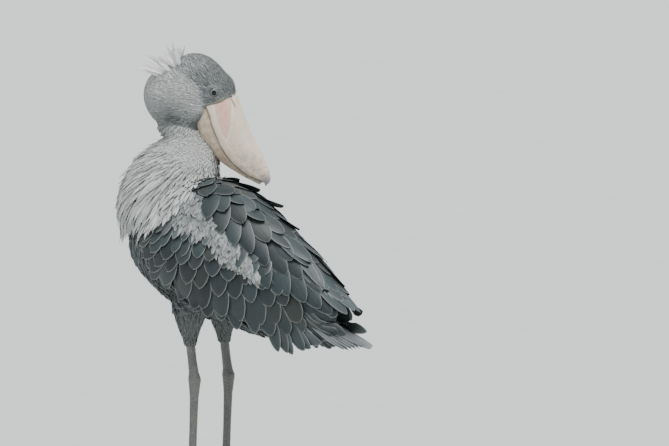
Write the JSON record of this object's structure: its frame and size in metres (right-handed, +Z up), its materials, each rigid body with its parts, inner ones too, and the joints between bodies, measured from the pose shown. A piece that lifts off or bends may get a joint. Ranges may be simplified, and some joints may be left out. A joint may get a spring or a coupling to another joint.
{
  "type": "shoebill",
  "caption": "Life-size standing shoebill, head turned back over its shoulder, with a huge shoe-shaped bill, shaggy neck and folded wings.",
  "frame": {"origin": "Middle of the bounding box in X and Y, on the floor between the feet's soles and the box's base.", "axes": "+Z up, the longest extent. The breast faces -Y, the bird's left side is +X, and the bill points back over the right shoulder."},
  "size_m": [0.2946, 0.6702, 1.0119],
  "materials": {
    "pale_plumage": "soft feathers, pale grey",
    "slate_plumage": "smooth vanes, slate with pale edges",
    "tail_plumage": "smooth vanes, grey",
    "horn": "satin horn with blotches",
    "eye": "wet gloss",
    "leg_scales": "dry scales",
    "claw_horn": "satin horn"
  },
  "bodies": {
    "root": {"head": "pale_plumage", "neck": "pale_plumage", "torso": "pale_plumage", "tail": "tail_plumage", "bill_upper": "horn", "bill_lower": "horn", "eye_left": "eye", "eye_right": "eye", "wing_left": "slate_plumage", "wing_right": "slate_plumage", "thigh_left": "pale_plumage", "shank_left": "leg_scales", "toe_middle_left": "leg_scales", "claw_middle_left": "claw_horn", "toe_outer_left": "leg_scales", "claw_outer_left": "claw_horn", "toe_inner_left": "leg_scales", "claw_inner_left": "claw_horn", "toe_hind_left": "leg_scales", "claw_hind_left": "claw_horn", "thigh_right": "pale_plumage", "shank_right": "leg_scales", "toe_middle_right": "leg_scales", "claw_middle_right": "claw_horn", "toe_outer_right": "leg_scales", "claw_outer_right": "claw_horn", "toe_inner_right": "leg_scales", "claw_inner_right": "claw_horn", "toe_hind_right": "leg_scales", "claw_hind_right": "claw_horn"}
  },
  "joints": []
}
